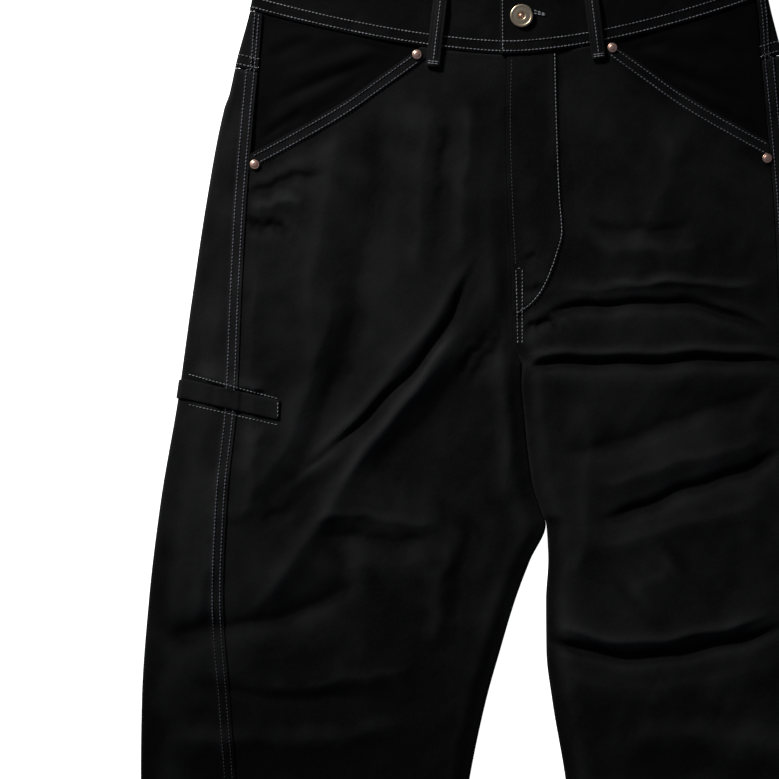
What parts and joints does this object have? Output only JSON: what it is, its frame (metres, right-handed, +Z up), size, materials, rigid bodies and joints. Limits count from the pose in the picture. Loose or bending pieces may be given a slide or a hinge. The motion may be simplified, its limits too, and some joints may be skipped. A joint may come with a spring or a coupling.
{
  "type": "tapered trousers",
  "caption": "Work trousers with a wide thigh and tapered lower leg, slanted front pockets, waistband with button and belt loops, a side tool pocket, laid flat on their back.",
  "frame": {"origin": "under the middle of the garment's box, on the surface it lies on", "axes": "+Y towards the waist, +Z up out of the surface, +X towards the wearer's left"},
  "size_m": [0.5901, 1.0739, 0.0142],
  "materials": {
    "black_twill": "heavy washed twill with pale contrast stitching",
    "facing_twill": "same twill, seen in the pocket mouths",
    "rivet_copper": "small pressed copper-coloured rivet",
    "button_brass": "pale brass tack button, blank"
  },
  "bodies": {
    "root": {"back_left": "black_twill", "back_pocket_left": "black_twill", "back_pocket_right": "black_twill", "back_right": "black_twill", "belt_loop_back_centre": "black_twill", "belt_loop_back_left": "black_twill", "belt_loop_back_right": "black_twill", "belt_loop_front_left": "black_twill", "belt_loop_front_right": "black_twill", "button": "button_brass", "front_left": "black_twill", "front_right": "black_twill", "pocket_facing_left": "facing_twill", "pocket_facing_right": "facing_twill", "rivet_left_lower": "rivet_copper", "rivet_left_upper": "rivet_copper", "rivet_right_lower": "rivet_copper", "rivet_right_upper": "rivet_copper", "tool_pocket_welt": "black_twill", "waistband_left": "black_twill", "waistband_right": "black_twill", "yoke_left": "black_twill", "yoke_right": "black_twill"}
  },
  "joints": []
}
